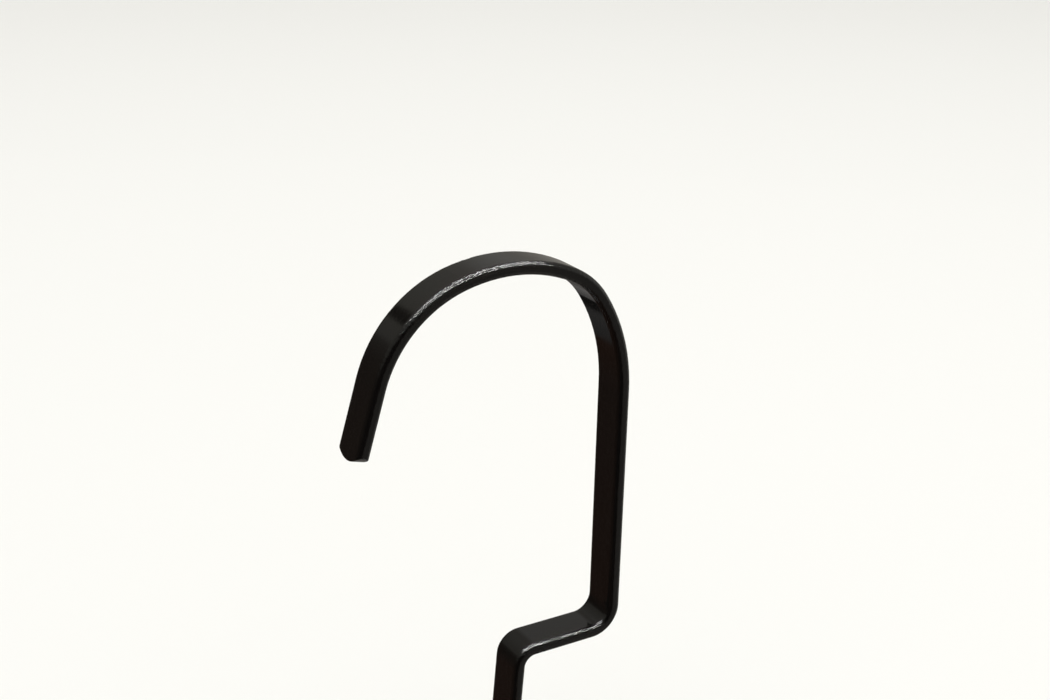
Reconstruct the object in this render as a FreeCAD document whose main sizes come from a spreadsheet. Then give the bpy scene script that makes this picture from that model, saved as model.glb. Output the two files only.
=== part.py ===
"""A razor stand: a bent flat-bar crook on a small weighted base.

Frame: millimetres, +Z up. The origin is the centre of the base on the surface that it stands on.
The crook lies in the XZ plane, its free end towards -X, and the flat of the bar faces X.
"""
import FreeCAD, Part
import math
import os

import Sketcher
from FreeCAD import Placement, Rotation, Vector

# Driving dimensions, in millimetres and degrees: alias, value, what it sets.
DIMENSIONS = [
    ("bar_width", 10.4, "flat bar, across the crook"),
    ("bar_thickness", 3.4, "flat bar, in the plane of the crook"),
    ("bar_edge_radius", 1.4, "rounding along the bar's long edges"),
    ("tip_end_radius", 7.0, "convex cut of the free end"),
    ("tip_edge_radius", 0.15, "rounding of that cut's edges"),
    ("tip_straight", 18.2, "straight run at the free end"),
    ("tip_lean", 16.1, "lean of the free end from upright, degrees"),
    ("crook_first_radius", 31.4, "crook centreline, from the free end"),
    ("crook_first_turn", 57.8, "degrees"),
    ("crook_second_radius", 42.3, "flatter stretch before the top"),
    ("crook_second_turn", 41.7, "degrees"),
    ("crook_third_radius", 21.0, "tighter stretch after the top"),
    ("crook_third_turn", 30.9, "degrees"),
    ("crook_last_radius", 46.5, "easing into the shank"),
    ("shank_length", 61.4, "upright run behind the opening"),
    ("shank_bend_radius", 6.3, "centreline bend, shank to ledge"),
    ("ledge_length", 17.9, "straight run of the ledge"),
    ("ledge_rise", 1.7, "rise of the ledge away from the shank, degrees"),
    ("leg_bend_radius", 4.5, "centreline bend, ledge to leg"),
    ("leg_rake", 4.2, "rake of the leg, degrees"),
    ("leg_length", 32.0, "raked run of the leg"),
    ("foot_bend_radius", 24.0, "centreline bend that sets the leg upright"),
    ("foot_clear", 2.0, "upright bar showing above the socket"),
    ("socket_diameter", 25.0, "turned socket that holds the bar"),
    ("socket_height", 11.0, "foot to top"),
    ("socket_top_round", 1.6, "rounding of the socket's top edge"),
    ("socket_foot_break", 0.3, "chamfer round the socket's foot"),
    ("socket_floor", 2.5, "metal left under the bar's blind slot"),
    ("slot_clearance", 0.05, "round the bar in its slot, each side"),
    ("gasket_thickness", 0.8, "under the socket"),
    ("gasket_inset", 0.4, "gasket inside the socket's edge"),
    ("base_diameter", 90.0, "outside of the shell"),
    ("base_top", 14.0, "top of the shell above the table"),
    ("shell_wall", 1.2, "drawn sheet"),
    ("shell_shoulder", 4.0, "outside radius of the shell's shoulder"),
    ("rim_gap", 1.0, "shell's rim above the table"),
    ("rim_round", 0.4, "rounding of the shell's rim"),
    ("foot_ring_inset", 2.4, "non-slip ring inside the closing plate's edge"),
    ("foot_ring_width", 9.0, "across the ring"),
    ("foot_ring_thickness", 2.4, "seat to table"),
    ("foot_ring_groove", 0.6, "depth of the ring's seat in the plate"),
    ("foot_ring_round", 0.5, "rounding of the ring's lower edges"),
    ("tread_width", 1.0, "each groove in the ring's underside"),
    ("tread_depth", 0.5, "of each groove"),
    ("plate_thickness", 2.0, "closing plate"),
    ("plate_clearance", 0.4, "plate to shell, all round"),
    ("ballast_clearance", 0.8, "ballast to shell, all round"),
    ("fit_clearance", 0.05, "screw to its hole, and ring to its seat, each side"),
    ("socket_screw_wall", 1.4, "metal between the slot and each socket screw's hole"),
    ("socket_screw_diameter", 4.0, "thread, outside"),
    ("socket_screw_reach", 5.5, "thread inside the socket"),
    ("socket_screw_head", 7.0, "head diameter"),
    ("socket_screw_head_height", 3.6, "cap head"),
    ("socket_screw_hex", 3.0, "across flats"),
    ("washer_diameter", 7.6, "outside"),
    ("washer_thickness", 0.9, "of the spring washer"),
    ("washer_gap", 0.8, "split of the spring washer"),
    ("seat_depth", 5.0, "counterbore for head and washer"),
    ("seat_clearance", 0.6, "round the washer, on the radius"),
    ("plate_screw_inset", 10.0, "closing-plate screws inside the non-slip ring"),
    ("plate_screw_diameter", 3.0, "thread, outside"),
    ("plate_screw_head", 5.6, "countersunk head diameter"),
    ("plate_screw_length", 8.0, "head included"),
    ("plate_screw_hex", 2.0, "across flats"),
    ("grub_spacing", 5.2, "between the two grub screws"),
    ("grub_diameter", 3.0, "thread, outside"),
    ("grub_length", 8.0, "end to end"),
    ("grub_hex", 1.5, "across flats"),
    ("hex_depth", 1.4, "depth of every hex recess"),
    ("screw_edge_break", 0.3, "chamfer at a screw's end and head"),
    ("drill_beyond", 1.0, "blind hole beyond its screw's end"),
]
PLATE_SCREWS = 3
TREADS = 3
SHEET = "dims"
SAME = 1e-4  # lengths closer than this are taken as equal
UPRIGHT = 0.99  # least upright share of a level circle's axis

doc = FreeCAD.newDocument("razor_stand")


def fill_sheet():
    table = doc.addObject("Spreadsheet::Sheet", SHEET)
    for row, (alias, value, note) in enumerate(DIMENSIONS, start=1):
        table.set(f"A{row}", alias)
        table.set(f"B{row}", str(value))
        table.set(f"C{row}", note)
        table.setAlias(f"B{row}", alias)
    doc.recompute()
    return table


sheet = fill_sheet()


def number(expression):
    """The value now of an expression on the sheet."""
    found = sheet.evalExpression(str(expression))
    return float(getattr(found, "Value", found))


# Levels above the table and radii that several pieces share, as expressions on the sheet.
PLATE_BOTTOM = "(dims.foot_ring_thickness - dims.foot_ring_groove)"
PLATE_TOP = f"({PLATE_BOTTOM} + dims.plate_thickness)"
SHELL_CEILING = "(dims.base_top - dims.shell_wall)"
BALLAST_HEIGHT = f"({SHELL_CEILING} - {PLATE_TOP})"
SOCKET_BOTTOM = "(dims.base_top + dims.gasket_thickness)"
SLOT_FLOOR = f"({SOCKET_BOTTOM} + dims.socket_floor)"
SLOT_DEPTH = "(dims.socket_height - dims.socket_floor)"
WASHER_BOTTOM = f"({PLATE_TOP} + dims.seat_depth - dims.washer_thickness)"
SHELL_INSIDE = "(dims.base_diameter / 2 - dims.shell_wall)"
PLATE_RADIUS = f"({SHELL_INSIDE} - dims.plate_clearance)"
RING_OUTSIDE = f"({PLATE_RADIUS} - dims.foot_ring_inset)"
RING_INSIDE = f"({RING_OUTSIDE} - dims.foot_ring_width)"
SOCKET_SCREW_HOLE = "(dims.socket_screw_diameter + 2 * dims.fit_clearance)"
SLOT_END = "(dims.bar_width / 2 + dims.slot_clearance)"
SOCKET_SCREW_OUT = f"({SLOT_END} + dims.socket_screw_wall + {SOCKET_SCREW_HOLE} / 2)"
PLATE_SCREW_OUT = f"({RING_INSIDE} - dims.plate_screw_inset)"
PLATE_SCREW_HOLE = "(dims.plate_screw_diameter + 2 * dims.fit_clearance)"
PLATE_SCREW_CONE = "((dims.plate_screw_head - dims.plate_screw_diameter) / 2)"

# The bar's edges are almost half round, and stop short of half its thickness.
EDGE_ROUND = "(min(dims.bar_edge_radius; 0.48 * dims.bar_thickness))"

# Places of the screws, seen from above.
SOCKET_SCREW_PLACES = [("0", f"({side} * {SOCKET_SCREW_OUT})") for side in (-1, 1)]
PLATE_SCREW_PLACES = [
    tuple(f"({PLATE_SCREW_OUT} * {wave}({360 * step / PLATE_SCREWS}))" for wave in ("cos", "sin"))
    for step in range(PLATE_SCREWS)
]


# ---- helpers for bodies, sketches and features ----

def new_body(label, **place):
    """A body whose own origin stands at x, y and z given by expressions, each 0 if left out."""
    body = doc.addObject("PartDesign::Body", label)
    body.Label = label
    for axis, value in place.items():
        body.setExpression(f"Placement.Base.{axis}", f"{value} * 1mm")
    return body


def new_sketch(body, name, plane="XY_Plane", offset="0"):
    """A sketch on one of the body's own origin planes, moved along the plane's normal."""
    sketch = body.newObject("Sketcher::SketchObject", name)
    support = next(f for f in body.Origin.OriginFeatures if f.Role == plane)
    sketch.AttachmentSupport = [(support, "")]
    sketch.MapMode = "FlatFace"
    sketch.setExpression("AttachmentOffset.Base.z", offset)
    return sketch


def bind(sketch, kind, *elements, value, unit="1mm"):
    """Adds a constraint whose size is an expression on the sheet."""
    size = number(value)
    if unit == "1deg":
        size = math.radians(size)
    index = sketch.addConstraint(Sketcher.Constraint(kind, *elements, size))
    sketch.setExpression(f"Constraints[{index}]", f"({value}) * {unit}")


def place_point(sketch, element, end, x, y):
    bind(sketch, "DistanceX", -1, 1, element, end, value=x)
    bind(sketch, "DistanceY", -1, 1, element, end, value=y)


def add_circles(sketch, places, diameter):
    for x, y in places:
        middle = Vector(number(x), number(y), 0)
        circle = sketch.addGeometry(Part.Circle(middle, Vector(0, 0, 1), number(diameter) / 2))
        place_point(sketch, circle, 3, x, y)
        bind(sketch, "Diameter", circle, value=diameter)


def add_outline(sketch, corners):
    """A closed outline of straight lines through corners given as pairs of expressions."""
    points = [Vector(number(x), number(y), 0) for x, y in corners]
    lines = []
    for start, end in zip(points, points[1:] + points[:1]):
        lines.append(sketch.addGeometry(Part.LineSegment(start, end)))
    for line, following in zip(lines, lines[1:] + lines[:1]):
        sketch.addConstraint(Sketcher.Constraint("Coincident", line, 2, following, 1))
    for line, (x, y) in zip(lines, corners):
        place_point(sketch, line, 1, x, y)


def add_box(sketch, low, high):
    """A rectangle between two corners, each a pair of expressions."""
    (left, bottom), (right, top) = low, high
    add_outline(sketch, [(left, bottom), (right, bottom), (right, top), (left, top)])


def add_hexagon(sketch, across_flats):
    corner = f"{across_flats} / sqrt(3)"
    angles = range(0, 360, 60)
    add_outline(sketch, [(f"{corner} * cos({a})", f"{corner} * sin({a})") for a in angles])


def add_feature(body, kind, name, profile, backwards=False, midplane=False, length=None):
    """A pad or pocket of a length given by an expression."""
    feature = body.newObject(f"PartDesign::{kind}", name)
    feature.Profile = profile
    feature.Reversed = backwards
    feature.Midplane = midplane
    feature.setExpression("Length", f"{length} * 1mm")
    profile.Visibility = False
    doc.recompute()


def turn(body, kind, name, profile):
    """A revolution or groove once round the body's upright axis."""
    feature = body.newObject(f"PartDesign::{kind}", name)
    feature.Profile = profile
    feature.ReferenceAxis = (profile, ["V_Axis"])
    feature.Angle = 360
    profile.Visibility = False
    doc.recompute()


def break_edges(body, kind, name, size, wanted):
    """Fillets or chamfers the edges that the test picks."""
    base = body.Tip
    names = [f"Edge{i}" for i, edge in enumerate(base.Shape.Edges, start=1) if wanted(edge)]
    feature = body.newObject(f"PartDesign::{kind}", name)
    feature.Base = (base, names)
    feature.setExpression("Radius" if kind == "Fillet" else "Size", f"{size} * 1mm")
    doc.recompute()


def circle_at(height, *radii):
    """A test for the level circles of some radii at one height, from expressions."""
    def wanted(edge):
        if not isinstance(edge.Curve, Part.Circle) or abs(edge.Curve.Axis.z) < UPRIGHT:
            return False
        level = abs(edge.Curve.Center.z - number(height)) < SAME
        return level and any(abs(edge.Curve.Radius - number(radius)) < SAME for radius in radii)
    return wanted


def turned_body(label, outline, **place):
    """A body turned from the half outline on the right of its upright axis."""
    body = new_body(label, **place)
    section = new_sketch(body, "half_section", "XZ_Plane")
    add_outline(section, outline)
    turn(body, "Revolution", "turned", section)
    return body


def cut_holes(body, name, places, diameter, depth, height="0"):
    """Round holes cut upwards from a height."""
    holes = new_sketch(body, name + "_places", offset=height)
    add_circles(holes, places, diameter)
    add_feature(body, "Pocket", name, holes, backwards=True, length=depth)


def cut_hexagon(body, across_flats, height="0", upwards=True):
    """The hex recess of a screw."""
    hexagon = new_sketch(body, "hexagon", offset=height)
    add_hexagon(hexagon, across_flats)
    add_feature(body, "Pocket", "hex_recess", hexagon, backwards=upwards, length="dims.hex_depth")


# ---- the bent bar ----

LAST_TURN = "(180 - dims.tip_lean - dims.crook_first_turn - dims.crook_second_turn - dims.crook_third_turn)"
RIGHT, LEFT = 1, -1
# The bar's route from its free end, as straight runs and as bends of a radius, a turn and a hand.
BAR_ROUTE = [
    ("run", "dims.tip_straight"),
    ("bend", "dims.crook_first_radius", "dims.crook_first_turn", RIGHT),
    ("bend", "dims.crook_second_radius", "dims.crook_second_turn", RIGHT),
    ("bend", "dims.crook_third_radius", "dims.crook_third_turn", RIGHT),
    ("bend", "dims.crook_last_radius", LAST_TURN, RIGHT),
    ("run", "dims.shank_length"),
    ("bend", "dims.shank_bend_radius", "90 + dims.ledge_rise", RIGHT),
    ("run", "dims.ledge_length"),
    ("bend", "dims.leg_bend_radius", "90 + dims.ledge_rise - dims.leg_rake", LEFT),
    ("run", "dims.leg_length"),
    ("bend", "dims.foot_bend_radius", "dims.leg_rake", LEFT),
    ("run", f"dims.foot_clear + {SLOT_DEPTH}"),
]


def add_route(sketch, route):
    """Draws tangent runs and bends from the origin, upwards. Returns the far end."""
    place, heading = Vector(0, 0, 0), 0.0  # heading is clockwise from up
    before = None  # the piece drawn last, and which of its points is its far end
    for kind, size, *bend in route:
        ahead = Vector(math.sin(heading), math.cos(heading), 0)
        if kind == "run":
            end = place + ahead * number(size)
            piece = sketch.addGeometry(Part.LineSegment(place, end))
            first, last = 1, 2
        else:
            swing, hand = bend
            radius, angle = number(size), math.radians(number(swing))
            towards = Vector(math.cos(heading), -math.sin(heading), 0) * hand
            middle = place + towards * radius
            start = math.atan2(-towards.y, -towards.x)
            span = (start - angle, start) if hand == RIGHT else (start, start + angle)
            circle = Part.Circle(middle, Vector(0, 0, 1), radius)
            piece = sketch.addGeometry(Part.ArcOfCircle(circle, *span))
            first, last = (2, 1) if hand == RIGHT else (1, 2)
            heading += angle * hand
            finish = start - angle * hand
            end = middle + Vector(math.cos(finish), math.sin(finish), 0) * radius
        if before is None:
            sketch.addConstraint(Sketcher.Constraint("Coincident", piece, first, -1, 1))
            sketch.addConstraint(Sketcher.Constraint("Vertical", piece))
        else:
            sketch.addConstraint(Sketcher.Constraint("Tangent", *before, piece, first))
        if kind == "run":
            bind(sketch, "Distance", piece, value=size)
        else:
            bind(sketch, "Radius", piece, value=size)
            bind(sketch, "Angle", piece, value=swing, unit="1deg")
        before = (piece, last)
        place = end
    return place


def add_tip_cut(sketch):
    """Closed outline below the free end, whose top is an arc through the body's origin."""
    radius, half_across, below = "dims.tip_end_radius", "dims.bar_width / 2", "-dims.bar_thickness"
    across, size = number(half_across), number(radius)
    rise = size - math.sqrt(size**2 - across**2)
    spread = math.asin(across / size)
    down = -math.pi / 2
    circle = Part.Circle(Vector(0, size, 0), Vector(0, 0, 1), size)
    arc = sketch.addGeometry(Part.ArcOfCircle(circle, down - spread, down + spread))
    corners = [(across, rise), (across, number(below)), (-across, number(below)), (-across, rise)]
    points = [Vector(x, y, 0) for x, y in corners]
    right, bottom, left = [sketch.addGeometry(Part.LineSegment(a, b)) for a, b in zip(points, points[1:])]
    for one, other in ((arc, right), (right, bottom), (bottom, left), (left, arc)):
        sketch.addConstraint(Sketcher.Constraint("Coincident", one, 2, other, 1))
    place_point(sketch, arc, 3, "0", radius)
    bind(sketch, "Radius", arc, value=radius)
    bind(sketch, "DistanceX", -1, 1, arc, 2, value=half_across)
    bind(sketch, "DistanceX", -1, 1, arc, 1, value=f"-{half_across}")
    place_point(sketch, bottom, 1, half_across, below)
    place_point(sketch, bottom, 2, f"-{half_across}", below)


def crook_arm():
    """The bar is drawn from its free end, upright at the body's own origin, and then leaned."""
    body = new_body("crook_arm")
    route = new_sketch(body, "bar_route", "XZ_Plane")
    end = add_route(route, BAR_ROUTE)
    section = new_sketch(body, "bar_section")
    half_through, half_across = "dims.bar_thickness / 2", "dims.bar_width / 2"
    add_box(section, (f"-{half_through}", f"-{half_across}"), (half_through, half_across))
    bar = body.newObject("PartDesign::AdditivePipe", "bar")
    bar.Profile = section
    bar.Spine = (route, [])
    doc.recompute()

    tip = new_sketch(body, "tip_outline", "YZ_Plane")
    add_tip_cut(tip)
    add_feature(body, "Pocket", "tip_cut", tip, midplane=True, length="(2 * dims.bar_thickness)")
    side = number(half_across)

    def along_bar(edge):
        box = edge.BoundBox
        on_side = abs(abs(box.YMin) - side) < SAME and abs(box.YMax - box.YMin) < SAME
        return on_side and edge.Length > number("dims.bar_thickness") + SAME

    def round_cut(edge):
        box = edge.BoundBox
        return box.ZMax < number("dims.tip_end_radius") / 2 and box.XMax < number(half_across)

    break_edges(body, "Fillet", "long_edges", EDGE_ROUND, along_bar)
    break_edges(body, "Fillet", "tip_edges", "dims.tip_edge_radius", round_cut)
    lean = Rotation(Vector(0, 1, 0), number("dims.tip_lean"))
    foot = lean.multVec(Vector(end.x, 0, end.y))
    body.Placement = Placement(Vector(0, 0, number(SLOT_FLOOR)) - foot, lean)
    return body


# ---- socket, gasket and their screws ----

def arm_socket():
    radius, height = "dims.socket_diameter / 2", "dims.socket_height"
    outline = [("0", "0"), (radius, "0"), (radius, height), ("0", height)]
    body = turned_body("arm_socket", outline, z=SOCKET_BOTTOM)
    break_edges(body, "Fillet", "top_round", "dims.socket_top_round", circle_at(height, radius))
    break_edges(body, "Chamfer", "foot_edge", "dims.socket_foot_break", circle_at("0", radius))

    slot = new_sketch(body, "slot_outline", offset=height)
    half_through = "(dims.bar_thickness / 2 + dims.slot_clearance)"
    add_box(slot, (f"-{half_through}", f"-{SLOT_END}"), (half_through, SLOT_END))
    add_feature(body, "Pocket", "slot", slot, length=SLOT_DEPTH)

    depth = "(dims.socket_screw_reach + dims.drill_beyond)"
    cut_holes(body, "screw_holes", SOCKET_SCREW_PLACES, SOCKET_SCREW_HOLE, depth)
    grubs = new_sketch(body, "grub_hole_places", "YZ_Plane", "dims.bar_thickness / 2")
    middle = f"(dims.socket_floor + {SLOT_DEPTH} / 2)"
    places = [(f"({side} * dims.grub_spacing / 2)", middle) for side in (-1, 1)]
    add_circles(grubs, places, "(dims.grub_diameter + 2 * dims.fit_clearance)")
    add_feature(body, "Pocket", "grub_holes", grubs, backwards=True, length="dims.socket_diameter")
    return body


def grub_screw(label, side):
    """Lies along X, its inner end on the flat of the bar and its hex recess outwards."""
    radius, length, edge = "dims.grub_diameter / 2", "dims.grub_length", "dims.screw_edge_break"
    outline = [("0", "0"), (f"{radius} - {edge}", "0"), (radius, edge)]
    outline += [(radius, f"{length} - {edge}"), (f"{radius} - {edge}", length), ("0", length)]
    y, z = f"({side} * dims.grub_spacing / 2)", f"({SLOT_FLOOR} + {SLOT_DEPTH} / 2)"
    body = turned_body(label, outline, x="(dims.bar_thickness / 2)", y=y, z=z)
    cut_hexagon(body, "dims.grub_hex", length, upwards=False)
    body.Placement.Rotation = Rotation(Vector(0, 1, 0), 90)
    return body


def socket_gasket():
    radius, thickness = "(dims.socket_diameter / 2 - dims.gasket_inset)", "dims.gasket_thickness"
    outline = [("0", "0"), (radius, "0"), (radius, thickness), ("0", thickness)]
    body = turned_body("socket_gasket", outline, z="dims.base_top")
    cut_holes(body, "screw_holes", SOCKET_SCREW_PLACES, SOCKET_SCREW_HOLE, thickness)
    return body


def socket_screw(label, x, y):
    """Cap screw, head down, up through the ballast and shell into the socket."""
    head, shaft = "dims.socket_screw_head / 2", "dims.socket_screw_diameter / 2"
    shoulder, edge = "dims.socket_screw_head_height", "dims.screw_edge_break"
    clamped = f"({SOCKET_BOTTOM} - {WASHER_BOTTOM})"
    end = f"({shoulder} + {clamped} + dims.socket_screw_reach)"
    outline = [("0", "0"), (f"{head} - {edge}", "0"), (head, edge), (head, shoulder), (shaft, shoulder)]
    outline += [(shaft, f"{end} - {edge}"), (f"{shaft} - {edge}", end), ("0", end)]
    body = turned_body(label, outline, x=x, y=y, z=f"({WASHER_BOTTOM} - {shoulder})")
    cut_hexagon(body, "dims.socket_screw_hex")
    return body


def socket_washer(label, x, y):
    """Split spring washer under the head of a socket screw."""
    inner, outer, thickness = f"{SOCKET_SCREW_HOLE} / 2", "dims.washer_diameter / 2", "dims.washer_thickness"
    outline = [(inner, "0"), (outer, "0"), (outer, thickness), (inner, thickness)]
    body = turned_body(label, outline, x=x, y=y, z=WASHER_BOTTOM)
    split = new_sketch(body, "split_outline")
    half_gap = "dims.washer_gap / 2"
    add_box(split, ("0", f"-{half_gap}"), ("dims.washer_diameter", half_gap))
    add_feature(body, "Pocket", "split", split, backwards=True, length=thickness)
    return body


# ---- the base ----

def base_shell():
    outside, height, wall = "dims.base_diameter / 2", "(dims.base_top - dims.rim_gap)", "dims.shell_wall"
    inside, ceiling = SHELL_INSIDE, f"({height} - {wall})"
    outline = [("0", ceiling), (inside, ceiling), (inside, "0")]
    outline += [(outside, "0"), (outside, height), ("0", height)]
    body = turned_body("base_shell", outline, z="dims.rim_gap")
    shoulder = "dims.shell_shoulder"
    break_edges(body, "Fillet", "outer_shoulder", shoulder, circle_at(height, outside))
    break_edges(body, "Fillet", "inner_shoulder", f"({shoulder} - {wall})", circle_at(ceiling, inside))
    break_edges(body, "Fillet", "rim_edges", "dims.rim_round", circle_at("0", inside, outside))
    cut_holes(body, "screw_holes", SOCKET_SCREW_PLACES, SOCKET_SCREW_HOLE, wall, ceiling)
    return body


def ballast_disc():
    """Iron disc under the shell: seats for the socket screws, tapped holes for the plate screws."""
    radius, slope = f"({SHELL_INSIDE} - dims.ballast_clearance)", "(dims.shell_shoulder - dims.shell_wall)"
    height = BALLAST_HEIGHT
    outline = [("0", "0"), (radius, "0"), (radius, f"{height} - {slope}")]
    outline += [(f"{radius} - {slope}", height), ("0", height)]
    body = turned_body("ballast_disc", outline, z=PLATE_TOP)
    seat = "(dims.washer_diameter + 2 * dims.seat_clearance)"
    cut_holes(body, "screw_holes", SOCKET_SCREW_PLACES, SOCKET_SCREW_HOLE, height)
    cut_holes(body, "seats", SOCKET_SCREW_PLACES, seat, "dims.seat_depth")
    depth = "(dims.plate_screw_length - dims.plate_thickness + dims.drill_beyond)"
    cut_holes(body, "tapped_holes", PLATE_SCREW_PLACES, PLATE_SCREW_HOLE, depth)
    return body


def bottom_plate():
    """Closes the base. A shallow groove in its underside seats the non-slip ring."""
    radius, thickness = PLATE_RADIUS, "dims.plate_thickness"
    groove, play = "dims.foot_ring_groove", "dims.fit_clearance"
    inner, outer = f"({RING_INSIDE} - {play})", f"({RING_OUTSIDE} + {play})"
    outline = [("0", "0"), (inner, "0"), (inner, groove), (outer, groove), (outer, "0")]
    outline += [(radius, "0"), (radius, thickness), ("0", thickness)]
    body = turned_body("bottom_plate", outline, z=PLATE_BOTTOM)
    cut_holes(body, "screw_holes", PLATE_SCREW_PLACES, PLATE_SCREW_HOLE, thickness)
    hole_edges = circle_at("0", f"{PLATE_SCREW_HOLE} / 2")
    break_edges(body, "Chamfer", "countersinks", PLATE_SCREW_CONE, hole_edges)
    return body


def plate_screw(label, x, y):
    """Countersunk screw, its head flush with the plate's underside."""
    head, shaft = "dims.plate_screw_head / 2", "dims.plate_screw_diameter / 2"
    end, edge = "dims.plate_screw_length", "dims.screw_edge_break"
    outline = [("0", "0"), (head, "0"), (shaft, PLATE_SCREW_CONE), (shaft, f"{end} - {edge}")]
    outline += [(f"{shaft} - {edge}", end), ("0", end)]
    body = turned_body(label, outline, x=x, y=y, z=PLATE_BOTTOM)
    cut_hexagon(body, "dims.plate_screw_hex")
    return body


def foot_ring():
    """Rubber ring that the stand rests on, with shallow tread grooves underneath."""
    thickness = "dims.foot_ring_thickness"
    outline = [(RING_INSIDE, "0"), (RING_OUTSIDE, "0"), (RING_OUTSIDE, thickness), (RING_INSIDE, thickness)]
    body = turned_body("foot_ring", outline)
    edges = circle_at("0", RING_INSIDE, RING_OUTSIDE)
    break_edges(body, "Fillet", "lower_edges", "dims.foot_ring_round", edges)
    treads = new_sketch(body, "tread_sections", "XZ_Plane")
    for step in range(1, TREADS + 1):
        middle = f"({RING_INSIDE} + dims.foot_ring_width * {step} / {TREADS + 1})"
        half = "dims.tread_width / 2"
        add_box(treads, (f"{middle} - {half}", "0"), (f"{middle} + {half}", "dims.tread_depth"))
    turn(body, "Groove", "treads", treads)
    return body


def numbered(make, name, places):
    return [make(f"{name}_{i}", *place) for i, place in enumerate(places, start=1)]


bodies = [crook_arm(), arm_socket(), socket_gasket()]
bodies += [base_shell(), ballast_disc(), bottom_plate(), foot_ring()]
bodies += numbered(grub_screw, "grub_screw", [("-1",), ("1",)])
bodies += numbered(socket_screw, "socket_screw", SOCKET_SCREW_PLACES)
bodies += numbered(socket_washer, "socket_washer", SOCKET_SCREW_PLACES)
bodies += numbered(plate_screw, "plate_screw", PLATE_SCREW_PLACES)
doc.recompute()

for item in doc.Objects:
    if "Invalid" in item.State or "Error" in item.State:
        raise RuntimeError(f"{item.Label} failed: {item.State}")
    if item.TypeId == "Sketcher::SketchObject" and not item.FullyConstrained:
        raise RuntimeError(f"{item.Label} is not fully constrained")
for body in bodies:
    shape = body.Shape
    if shape.isNull() or not shape.isValid() or len(shape.Solids) != 1:
        raise RuntimeError(f"{body.Label} is not one valid solid")

os.makedirs("parts", exist_ok=True)
for body in bodies:
    body.Shape.exportStep(f"parts/{body.Label}.step")
    box = body.Shape.BoundBox
    volume = body.Shape.Volume / 1000
    print(f"{body.Label:16} {volume:8.3f} cm3   z {box.ZMin:7.2f} to {box.ZMax:7.2f}")
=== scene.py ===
# A razor stand: a black flat-bar crook on a small weighted base, in a pale studio.
import math

import bpy
from mathutils import Matrix, Vector


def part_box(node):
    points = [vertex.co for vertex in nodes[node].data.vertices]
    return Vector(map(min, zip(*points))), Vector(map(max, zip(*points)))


mm = 0.001


def linear(hexColour):
    # sRGB hex to linear colour with alpha
    channels = [int(hexColour[i:i + 2], 16) / 255 for i in (1, 3, 5)]
    return [c / 12.92 if c <= 0.04045 else ((c + 0.055) / 1.055) ** 2.4 for c in channels] + [1.0]


def addNode(tree, kind, settings=None, links=None):
    # adds a node; settings and links go to a socket by its name or number, or to a property
    node = tree.nodes.new(kind)
    for name, value in (settings or {}).items():
        if isinstance(name, int) or name in node.inputs:
            node.inputs[name].default_value = value
        else:
            setattr(node, name, value)
    for name, source in (links or {}).items():
        tree.links.new(source, node.inputs[name])
    return node


def newMaterial(name):
    material = bpy.data.materials.new(name)
    material.use_nodes = True
    return material, material.node_tree, material.node_tree.nodes["Principled BSDF"]


def assign(node, material):
    node.data.materials.clear()
    node.data.materials.append(material)


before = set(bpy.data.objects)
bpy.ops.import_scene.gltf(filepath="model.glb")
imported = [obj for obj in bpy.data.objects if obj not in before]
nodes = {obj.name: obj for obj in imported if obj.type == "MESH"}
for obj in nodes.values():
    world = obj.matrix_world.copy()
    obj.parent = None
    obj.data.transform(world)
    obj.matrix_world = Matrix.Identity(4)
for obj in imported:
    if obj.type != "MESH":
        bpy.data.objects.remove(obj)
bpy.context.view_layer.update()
print("frame loaded:", len(nodes), "nodes")

# ---- camera ----

cameraLook = {
    "azimuth": -32.51,  # degrees, to the left of straight on
    "elevation": 21.43,
    "roll": 1.27,
    "distance": 348.2 * mm,  # from the aim point
    "aimInside": 28.4 * mm,  # aim point, in from the shank's outer face
    "aimBelow": 24.25 * mm,  # aim point, below the top of the crook
    "lens": 49.99,
    "clipStart": 10 * mm,
}


def makeCamera(look):
    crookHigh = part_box("crook_arm")[1]
    aim = Vector((crookHigh.x - look["aimInside"], 0, crookHigh.z - look["aimBelow"]))
    azimuth, elevation = math.radians(look["azimuth"]), math.radians(look["elevation"])
    level = Vector((math.sin(azimuth), -math.cos(azimuth), 0)) * math.cos(elevation)
    back = level + Vector((0, 0, math.sin(elevation)))
    camera = bpy.data.objects.new("camera", bpy.data.cameras.new("camera"))
    bpy.context.scene.collection.objects.link(camera)
    camera.data.lens = look["lens"]
    camera.data.clip_start = look["clipStart"]
    camera.rotation_mode = "QUATERNION"
    roll = Matrix.Rotation(math.radians(look["roll"]), 4, "Z").to_quaternion()
    camera.rotation_quaternion = (-back).to_track_quat("-Z", "Y") @ roll
    camera.location = aim + back * look["distance"]
    bpy.context.scene.camera = camera


makeCamera(cameraLook)
print("camera placed")

# ---- studio ----

studioLook = {
    "floorColour": "#f0f0ee",
    "floorRoughness": 0.9,
    "floorSize": 40,  # metres, so that the floor fills every view
    "backdropColour": "#ffffff",
    # what the gloss sees on the left and behind, by the sine of its elevation
    "wallBands": [
        (-0.60, "#4d382e"),
        (-0.45, "#51413a"),
        (-0.05, "#4b433d"),
        (0.12, "#514a44"),
        (0.26, "#66625c"),
        (0.30, "#8d8b84"),
        (0.45, "#949289"),
        (0.60, "#9f9e96"),
    ],
    "rightColour": "#96938c",  # and on the right
    "rightEdge": (-0.05, 0.30),  # from the one to the other, across X
}

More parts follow.
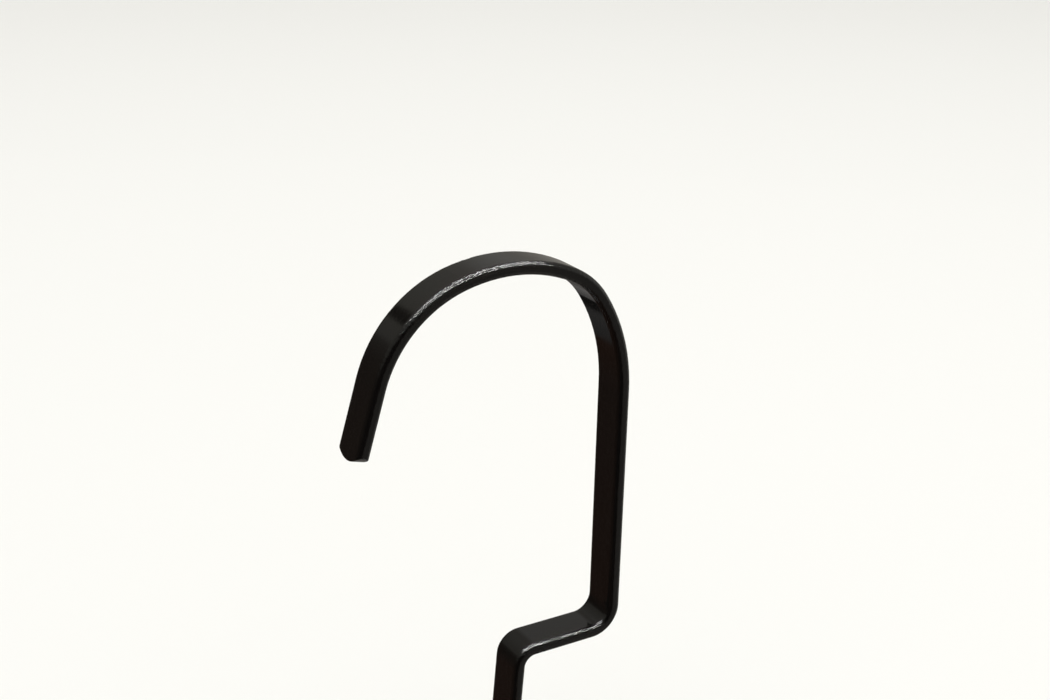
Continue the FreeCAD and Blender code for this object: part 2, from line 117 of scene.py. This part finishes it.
# Pale and dark cards round the stand, seen only in the gloss: direction, degrees out to which a card
# is whole and at which it is gone, and its colour.
cards = {
    "dark upright": ((-0.335, 0.80, 0.482), 3.8, 5.2, "#2c2a27"),
    "pale corner": ((0.55, 0.70, 0.47), 8, 18, "#a8a7a2"),
    "window wall": ((0.95, -0.25, -0.12), 18, 42, "#c4c3bd"),
    "front wall": ((0.48, -0.76, -0.40), 24, 40, "#827f7a"),
    "dark left": ((-0.62, -0.78, -0.05), 30, 48, "#343130"),
    "grey table": ((-0.12, 0.765, -0.635), 7, 9, "#5a5958"),
    "pale table": ((0.27, 0.78, -0.57), 8, 10, "#7d7b79"),
    "dark table edge": ((0.065, 0.77, -0.63), 3.6, 5.2, "#222120"),
    "shaded corner": ((0.47, 0.78, -0.43), 5, 9, "#575553"),
}

lampLook = {
    "softbox": {"place": (0, 0, 1.35), "size": (2.4, 2.4), "power": 5},
    "downlights 1": {"place": (0.20, 0.24, 1.3), "size": (0.05, 0.04), "power": 1.6, "onlyGloss": True,
                     "count": 12, "pitch": 0.17},
    "downlights 2": {"place": (0.20, -0.20, 1.3), "size": (0.05, 0.04), "power": 1.6, "onlyGloss": True,
                     "count": 12, "pitch": 0.17},
    "downlights 3": {"place": (0.35, -0.85, 1.2), "size": (0.05, 0.04), "power": 2.4, "onlyGloss": True,
                     "count": 11, "pitch": 0.17},
    "floor fill": {"place": (0, 0, 3.0), "size": (9.0, 9.0), "power": 230, "noGloss": True},
}


def makeFloor(look):
    bpy.ops.mesh.primitive_plane_add(size=look["floorSize"])
    floor = bpy.context.object
    floor.name = "floor"
    floor.visible_glossy = False  # the dark coat mirrors the room instead of the white floor
    material, _, shader = newMaterial("matt paper floor")
    shader.inputs["Base Color"].default_value = linear(look["floorColour"])
    shader.inputs["Roughness"].default_value = look["floorRoughness"]
    assign(floor, material)


def makeRoom(look, cards):
    # the room round the stand: a white backdrop to the eye, a darker room in the gloss
    world = bpy.data.worlds.new("room")
    bpy.context.scene.world = world
    world.use_nodes = True
    tree = world.node_tree
    direction = addNode(tree, "ShaderNodeTexCoord").outputs["Generated"]
    axes = addNode(tree, "ShaderNodeSeparateXYZ", links={"Vector": direction}).outputs
    height = addNode(tree, "ShaderNodeMapRange", {"From Min": -1.0}, {"Value": axes["Z"]})
    bands = addNode(tree, "ShaderNodeValToRGB", links={"Fac": height.outputs["Result"]})
    elements = bands.color_ramp.elements
    elements.remove(elements[1])
    for i, (sine, colour) in enumerate(look["wallBands"]):
        stop = elements[0] if i == 0 else elements.new((sine + 1) / 2)
        stop.position = (sine + 1) / 2
        stop.color = linear(colour)
    left, right = look["rightEdge"]
    across = {"interpolation_type": "SMOOTHSTEP", "From Min": left, "From Max": right}
    side = addNode(tree, "ShaderNodeMapRange", across, {"Value": axes["X"]}).outputs["Result"]
    walls = {"data_type": "RGBA", 7: linear(look["rightColour"])}
    colour = addNode(tree, "ShaderNodeMix", walls, {0: side, 6: bands.outputs["Color"]}).outputs[2]
    for towards, whole, gone, shade in cards.values():
        middle = Vector(towards).normalized()
        facing = addNode(tree, "ShaderNodeVectorMath", {"operation": "DOT_PRODUCT", 1: middle},
                         {0: direction})
        reach = {"interpolation_type": "SMOOTHSTEP", "From Min": math.cos(math.radians(gone)),
                 "From Max": math.cos(math.radians(whole))}
        card = addNode(tree, "ShaderNodeMapRange", reach,
                       {"Value": facing.outputs["Value"]}).outputs["Result"]
        painted = {"data_type": "RGBA", 7: linear(shade)}
        colour = addNode(tree, "ShaderNodeMix", painted, {0: card, 6: colour}).outputs[2]
    eye = addNode(tree, "ShaderNodeLightPath").outputs["Is Camera Ray"]
    backdrop = {"data_type": "RGBA", 7: linear(look["backdropColour"])}
    seen = addNode(tree, "ShaderNodeMix", backdrop, {0: eye, 6: colour}).outputs[2]
    tree.links.new(seen, tree.nodes["Background"].inputs["Color"])


def addLamps(name, look):
    # a rectangular lamp that faces down, or a row of them along X
    count, pitch = look.get("count", 1), look.get("pitch", 0)
    for i in range(count):
        lamp = bpy.data.objects.new(name, bpy.data.lights.new(name, "AREA"))
        bpy.context.scene.collection.objects.link(lamp)
        lamp.data.shape = "RECTANGLE"
        lamp.data.size, lamp.data.size_y = look["size"]
        lamp.data.energy = look["power"]
        lamp.location = Vector(look["place"]) + Vector(((i - (count - 1) / 2) * pitch, 0, 0))
        lamp.visible_glossy = not look.get("noGloss", False)
        lamp.visible_diffuse = not look.get("onlyGloss", False)


makeFloor(studioLook)
makeRoom(studioLook, cards)
for name, look in lampLook.items():
    addLamps(name, look)
bpy.context.scene.view_settings.view_transform = "Standard"
print("studio lit:", len(lampLook), "lamps,", len(cards), "cards")

# ---- finishes ----

noiseLow, noiseHigh = 0.35, 0.65  # a noise lies mostly between these

barCoatLook = {
    "colour": "#060505",
    "thinColour": "#0a0807",  # where the film is thinner
    "patchSize": 14 * mm,
    "smooth": 0.07,  # roughness where it is cleanest
    "dull": 0.13,  # and where it has been handled
    "peelSize": 0.80 * mm,
    "peelDepth": 0.008 * mm,
    "edgePeelDepth": 0.13 * mm,  # deeper than real, so that it shows
    "edgeFrom": 1.5 * mm,  # in from the bar's side, where its flat gives way to its rounded edge
    "edgeTo": 1.1 * mm,
}


def barPowderCoat(look, halfWidth):
    # polyester powder coat, sprayed and baked on a flat bar: near black and semi-gloss, with a fine orange
    # peel that is deeper along the edges, where it breaks up their highlights
    material, tree, shader = newMaterial("black powder coat on bar")
    place = addNode(tree, "ShaderNodeTexCoord").outputs["Object"]
    patches = addNode(tree, "ShaderNodeTexNoise", {"Scale": 1 / look["patchSize"], "Detail": 3.0},
                      {"Vector": place})
    film = {"data_type": "RGBA", 6: linear(look["colour"]), 7: linear(look["thinColour"])}
    colour = addNode(tree, "ShaderNodeMix", film, {0: patches.outputs["Fac"]}).outputs[2]
    handled = {"From Min": noiseLow, "From Max": noiseHigh, "To Min": look["smooth"], "To Max": look["dull"]}
    roughness = addNode(tree, "ShaderNodeMapRange", handled, {"Value": patches.outputs["Fac"]})
    across = addNode(tree, "ShaderNodeSeparateXYZ", links={"Vector": place}).outputs["Y"]
    fromMiddle = addNode(tree, "ShaderNodeMath", {"operation": "ABSOLUTE"}, {0: across}).outputs[0]
    edge = {"From Min": halfWidth - look["edgeFrom"], "From Max": halfWidth - look["edgeTo"]}
    edgeShare = addNode(tree, "ShaderNodeMapRange", edge, {"Value": fromMiddle})
    deeper = {"To Min": look["peelDepth"], "To Max": look["edgePeelDepth"]}
    depth = addNode(tree, "ShaderNodeMapRange", deeper,
                    {"Value": edgeShare.outputs["Result"]}).outputs["Result"]
    peel = addNode(tree, "ShaderNodeTexNoise", {"Scale": 1 / look["peelSize"], "Detail": 2.5},
                   {"Vector": place})
    # centred on zero, so that the change of depth across the edge makes no slope of its own
    centred = addNode(tree, "ShaderNodeMath", {"operation": "SUBTRACT", 1: 0.5}, {0: peel.outputs["Fac"]})
    height = addNode(tree, "ShaderNodeMath", {"operation": "MULTIPLY"}, {0: centred.outputs[0], 1: depth})
    bump = addNode(tree, "ShaderNodeBump", {"Distance": 1.0}, {"Height": height.outputs[0]})
    tree.links.new(colour, shader.inputs["Base Color"])
    tree.links.new(roughness.outputs["Result"], shader.inputs["Roughness"])
    tree.links.new(bump.outputs["Normal"], shader.inputs["Normal"])
    return material


shellCoatLook = {
    "colour": "#060505",
    "dustColour": "#37332f",
    "dustSize": 1.6 * mm,  # coarser than real dust, so that it shows
    "dustEdge": (0.07, 0.03),  # share of that size at which a speck is gone, and is whole
    "dustSlope": (0.6, 0.95),  # how level a face is where dust starts to lie, and lies fully
    "patchSize": 26 * mm,
    "smooth": 0.15,
    "dull": 0.24,
    "peelSize": 0.9 * mm,
    "peelDepth": 0.022 * mm,
    "wornColour": "#2b2622",  # scuffed along the rim
    "wornTop": 1.6 * mm,  # above the rim's edge
    "wornNoise": (0.5, 0.7),  # noise at which a scuff starts, and is whole
}


def shellPowderCoat(look, rimHeight):
    # the same powder coat over drawn sheet: a wider orange peel on the large faces, dull patches where
    # it is picked up, a little settled dust on top, and scuffs round the rim
    material, tree, shader = newMaterial("black powder coat on sheet")
    place = addNode(tree, "ShaderNodeTexCoord").outputs["Object"]
    patches = addNode(tree, "ShaderNodeTexNoise", {"Scale": 1 / look["patchSize"], "Detail": 4.0},
                      {"Vector": place})
    handled = {"From Min": noiseLow, "From Max": noiseHigh, "To Min": look["smooth"], "To Max": look["dull"]}
    roughness = addNode(tree, "ShaderNodeMapRange", handled, {"Value": patches.outputs["Fac"]})
    specks = addNode(tree, "ShaderNodeTexVoronoi", {"Scale": 1 / look["dustSize"]}, {"Vector": place})
    gone, whole = look["dustEdge"]
    small = {"From Min": gone, "From Max": whole}
    dust = addNode(tree, "ShaderNodeMapRange", small,
                   {"Value": specks.outputs["Distance"]}).outputs["Result"]
    facing = addNode(tree, "ShaderNodeNewGeometry").outputs["Normal"]
    upward = addNode(tree, "ShaderNodeSeparateXYZ", links={"Vector": facing}).outputs["Z"]
    steep, flat = look["dustSlope"]
    settles = addNode(tree, "ShaderNodeMapRange", {"From Min": steep, "From Max": flat}, {"Value": upward})
    settled = addNode(tree, "ShaderNodeMath", {"operation": "MULTIPLY"},
                      {0: dust, 1: settles.outputs["Result"]})
    dusted = {"data_type": "RGBA", 6: linear(look["colour"]), 7: linear(look["dustColour"])}
    colour = addNode(tree, "ShaderNodeMix", dusted, {0: settled.outputs[0]}).outputs[2]
    level = addNode(tree, "ShaderNodeSeparateXYZ", links={"Vector": place}).outputs["Z"]
    near = {"From Min": rimHeight + look["wornTop"], "From Max": rimHeight}
    rim = addNode(tree, "ShaderNodeMapRange", near, {"Value": level}).outputs["Result"]
    starts, full = look["wornNoise"]
    scuffs = {"From Min": starts, "From Max": full}
    ragged = addNode(tree, "ShaderNodeMapRange", scuffs, {"Value": patches.outputs["Fac"]})
    worn = addNode(tree, "ShaderNodeMath", {"operation": "MULTIPLY"}, {0: rim, 1: ragged.outputs["Result"]})
    scuffed = {"data_type": "RGBA", 7: linear(look["wornColour"])}
    colour = addNode(tree, "ShaderNodeMix", scuffed, {0: worn.outputs[0], 6: colour}).outputs[2]
    peel = addNode(tree, "ShaderNodeTexNoise", {"Scale": 1 / look["peelSize"], "Detail": 2.0},
                   {"Vector": place})
    bump = addNode(tree, "ShaderNodeBump", {"Distance": look["peelDepth"]}, {"Height": peel.outputs["Fac"]})
    tree.links.new(colour, shader.inputs["Base Color"])
    tree.links.new(roughness.outputs["Result"], shader.inputs["Roughness"])
    tree.links.new(bump.outputs["Normal"], shader.inputs["Normal"])
    return material


def turnedMarks(tree, place, pitch):
    # rings round the stand's upright axis on level faces, and bands up its sides, from -1 to 1
    level = addNode(tree, "ShaderNodeSeparateXYZ", links={"Vector": place}).outputs["Z"]
    flattened = addNode(tree, "ShaderNodeVectorMath", {"operation": "MULTIPLY", 1: (1, 1, 0)}, {0: place})
    out = addNode(tree, "ShaderNodeVectorMath", {"operation": "LENGTH"}, {0: flattened.outputs[0]})
    along = addNode(tree, "ShaderNodeMath", {"operation": "ADD"}, {0: out.outputs["Value"], 1: level})
    turns = addNode(tree, "ShaderNodeMath", {"operation": "MULTIPLY", 1: 2 * math.pi / pitch},
                    {0: along.outputs[0]})
    return addNode(tree, "ShaderNodeMath", {"operation": "SINE"}, {0: turns.outputs[0]}).outputs[0]


socketCoatLook = {
    "colour": "#070606",
    "smooth": 0.20,
    "dull": 0.30,
    "patchSize": 6 * mm,
    "toolPitch": 0.55 * mm,  # coarser than the lathe's feed, so that it shows through the coat
    "toolDepth": 0.003 * mm,
    "peelSize": 0.4 * mm,
    "peelDepth": 0.008 * mm,
}


def socketPowderCoat(look):
    # a thinner powder coat over a turned steel socket: the lathe's marks show faintly through it
    material, tree, shader = newMaterial("fine black powder coat on turned steel")
    place = addNode(tree, "ShaderNodeTexCoord").outputs["Object"]
    patches = addNode(tree, "ShaderNodeTexNoise", {"Scale": 1 / look["patchSize"], "Detail": 3.0},
                      {"Vector": place})
    handled = {"From Min": noiseLow, "From Max": noiseHigh, "To Min": look["smooth"], "To Max": look["dull"]}
    roughness = addNode(tree, "ShaderNodeMapRange", handled, {"Value": patches.outputs["Fac"]})
    peel = addNode(tree, "ShaderNodeTexNoise", {"Scale": 1 / look["peelSize"], "Detail": 2.0},
                   {"Vector": place})
    marks = turnedMarks(tree, place, look["toolPitch"])
    cut = addNode(tree, "ShaderNodeBump", {"Distance": look["toolDepth"]}, {"Height": marks})
    coated = {"Height": peel.outputs["Fac"], "Normal": cut.outputs["Normal"]}
    bump = addNode(tree, "ShaderNodeBump", {"Distance": look["peelDepth"]}, coated)
    shader.inputs["Base Color"].default_value = linear(look["colour"])
    tree.links.new(roughness.outputs["Result"], shader.inputs["Roughness"])
    tree.links.new(bump.outputs["Normal"], shader.inputs["Normal"])
    return material


rubberLook = {
    "colour": "#131312",
    "bloomColour": "#26262a",  # pale bloom of wax on old rubber
    "bloomSize": 7 * mm,
    "bloomNoise": (0.45, 0.75),  # noise at which the bloom starts, and is full
    "roughness": 0.72,
    "grainSize": 0.35 * mm,
    "grainDepth": 0.02 * mm,
}


def mouldedRubber(look):
    # moulded nitrile rubber: matt, spark-eroded grain, with a faint grey bloom in patches
    material, tree, shader = newMaterial("moulded black rubber")
    place = addNode(tree, "ShaderNodeTexCoord").outputs["Object"]
    bloom = addNode(tree, "ShaderNodeTexNoise", {"Scale": 1 / look["bloomSize"], "Detail": 5.0},
                    {"Vector": place})
    starts, full = look["bloomNoise"]
    patchy = {"From Min": starts, "From Max": full}
    spread = addNode(tree, "ShaderNodeMapRange", patchy, {"Value": bloom.outputs["Fac"]})
    shades = {"data_type": "RGBA", 6: linear(look["colour"]), 7: linear(look["bloomColour"])}
    colour = addNode(tree, "ShaderNodeMix", shades, {0: spread.outputs["Result"]}).outputs[2]
    grain = addNode(tree, "ShaderNodeTexNoise", {"Scale": 1 / look["grainSize"], "Detail": 3.0},
                    {"Vector": place})
    bump = addNode(tree, "ShaderNodeBump", {"Distance": look["grainDepth"]},
                   {"Height": grain.outputs["Fac"]})
    tree.links.new(colour, shader.inputs["Base Color"])
    tree.links.new(bump.outputs["Normal"], shader.inputs["Normal"])
    shader.inputs["Roughness"].default_value = look["roughness"]
    return material


zincSheetLook = {
    "colour": "#b4b8bb",
    "tint": "#a9aeba",  # clear blue passivation, uneven
    "tintSize": 18 * mm,
    "smooth": 0.28,
    "dull": 0.42,
    "grainNoise": (0.3, 0.7),  # noise at which the grain is smoothest, and dullest
    "grainLength": 9 * mm,
    "grainWidth": 0.22 * mm,  # rolling grain, coarser than real so that it shows
    "grainDepth": 0.003 * mm,
}


def zincSheet(look):
    # cold-rolled steel, zinc plated and blue passivated: satin, streaked along the rolling direction
    material, tree, shader = newMaterial("zinc plated sheet steel")
    place = addNode(tree, "ShaderNodeTexCoord").outputs["Object"]
    cloud = addNode(tree, "ShaderNodeTexNoise", {"Scale": 1 / look["tintSize"], "Detail": 3.0},
                    {"Vector": place})
    shades = {"data_type": "RGBA", 6: linear(look["colour"]), 7: linear(look["tint"])}
    colour = addNode(tree, "ShaderNodeMix", shades, {0: cloud.outputs["Fac"]}).outputs[2]
    stretch = (1 / look["grainLength"], 1 / look["grainWidth"], 1 / look["grainWidth"])
    rolled = addNode(tree, "ShaderNodeMapping", {"Scale": stretch}, {"Vector": place}).outputs["Vector"]
    grain = addNode(tree, "ShaderNodeTexNoise", {"Scale": 1.0, "Detail": 3.0},
                    {"Vector": rolled}).outputs["Fac"]
    low, high = look["grainNoise"]
    satin = {"From Min": low, "From Max": high, "To Min": look["smooth"], "To Max": look["dull"]}
    roughness = addNode(tree, "ShaderNodeMapRange", satin, {"Value": grain})
    bump = addNode(tree, "ShaderNodeBump", {"Distance": look["grainDepth"]}, {"Height": grain})
    shader.inputs["Metallic"].default_value = 1.0
    tree.links.new(colour, shader.inputs["Base Color"])
    tree.links.new(roughness.outputs["Result"], shader.inputs["Roughness"])
    tree.links.new(bump.outputs["Normal"], shader.inputs["Normal"])
    return material


zincScrewLook = {
    "name": "bright zinc plated steel",
    "colour": "#c6cacd",
    "tint": "#b9bfd0",
    "patchSize": 2.2 * mm,
    "smooth": 0.20,
    "dull": 0.34,
    "pitSize": 0.3 * mm,
    "pitDepth": 0.006 * mm,
}
blackScrewLook = {
    "name": "black oxide steel",
    "colour": "#1b1b1e",
    "tint": "#29262a",  # where the oxide is thin the steel warms it
    "patchSize": 1.6 * mm,
    "smooth": 0.30,
    "dull": 0.46,
    "pitSize": 0.25 * mm,
    "pitDepth": 0.008 * mm,
}


def platedScrew(look):
    # headed and rolled steel screws: bright and cool when zinc plated, oily dark when black oxided
    material, tree, shader = newMaterial(look["name"])
    place = addNode(tree, "ShaderNodeTexCoord").outputs["Object"]
    patches = addNode(tree, "ShaderNodeTexNoise", {"Scale": 1 / look["patchSize"], "Detail": 3.0},
                      {"Vector": place})
    shades = {"data_type": "RGBA", 6: linear(look["colour"]), 7: linear(look["tint"])}
    colour = addNode(tree, "ShaderNodeMix", shades, {0: patches.outputs["Fac"]}).outputs[2]
    worn = {"From Min": noiseLow, "From Max": noiseHigh, "To Min": look["smooth"], "To Max": look["dull"]}
    roughness = addNode(tree, "ShaderNodeMapRange", worn, {"Value": patches.outputs["Fac"]})
    pits = addNode(tree, "ShaderNodeTexNoise", {"Scale": 1 / look["pitSize"], "Detail": 2.0},
                   {"Vector": place})
    bump = addNode(tree, "ShaderNodeBump", {"Distance": look["pitDepth"]}, {"Height": pits.outputs["Fac"]})
    shader.inputs["Metallic"].default_value = 1.0
    tree.links.new(colour, shader.inputs["Base Color"])
    tree.links.new(roughness.outputs["Result"], shader.inputs["Roughness"])
    tree.links.new(bump.outputs["Normal"], shader.inputs["Normal"])
    return material


ironLook = {
    "colour": "#6b6966",
    "flakeColour": "#45433f",
    "flakeSize": 0.5 * mm,  # graphite flakes, coarser than real so that they show
    "flakeNoise": (0.5, 0.65),  # noise at which a flake starts, and is full
    "smooth": 0.36,
    "dull": 0.55,
    "toolPitch": 0.8 * mm,
    "toolDepth": 0.006 * mm,
}


def machinedIron(look):
    # grey cast iron faced on a lathe: mid grey, speckled with graphite, with fine concentric tool marks
    material, tree, shader = newMaterial("machined grey iron")
    place = addNode(tree, "ShaderNodeTexCoord").outputs["Object"]
    flakes = addNode(tree, "ShaderNodeTexNoise", {"Scale": 1 / look["flakeSize"], "Detail": 4.0},
                     {"Vector": place})
    starts, full = look["flakeNoise"]
    speckled = {"From Min": starts, "From Max": full}
    spread = addNode(tree, "ShaderNodeMapRange", speckled, {"Value": flakes.outputs["Fac"]})
    shades = {"data_type": "RGBA", 6: linear(look["colour"]), 7: linear(look["flakeColour"])}
    colour = addNode(tree, "ShaderNodeMix", shades, {0: spread.outputs["Result"]}).outputs[2]
    matt = {"To Min": look["smooth"], "To Max": look["dull"]}
    roughness = addNode(tree, "ShaderNodeMapRange", matt, {"Value": spread.outputs["Result"]})
    marks = turnedMarks(tree, place, look["toolPitch"])
    bump = addNode(tree, "ShaderNodeBump", {"Distance": look["toolDepth"]}, {"Height": marks})
    shader.inputs["Metallic"].default_value = 1.0
    tree.links.new(colour, shader.inputs["Base Color"])
    tree.links.new(roughness.outputs["Result"], shader.inputs["Roughness"])
    tree.links.new(bump.outputs["Normal"], shader.inputs["Normal"])
    return material


finishes = {
    "crook_arm": barPowderCoat(barCoatLook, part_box("crook_arm")[1].y),
    "base_shell": shellPowderCoat(shellCoatLook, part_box("base_shell")[0].z),
    "arm_socket": socketPowderCoat(socketCoatLook),
    "socket_gasket": mouldedRubber(rubberLook),
    "bottom_plate": zincSheet(zincSheetLook),
    "ballast_disc": machinedIron(ironLook),
    "socket_screw": platedScrew(zincScrewLook),
    "plate_screw": platedScrew(blackScrewLook),
}
finishes["foot_ring"] = finishes["socket_gasket"]
finishes["socket_washer"] = finishes["socket_screw"]
finishes["grub_screw"] = finishes["plate_screw"]
for name, node in nodes.items():
    assign(node, finishes[name.rstrip("_0123456789")])
print("finishes given to", len(nodes), "nodes")
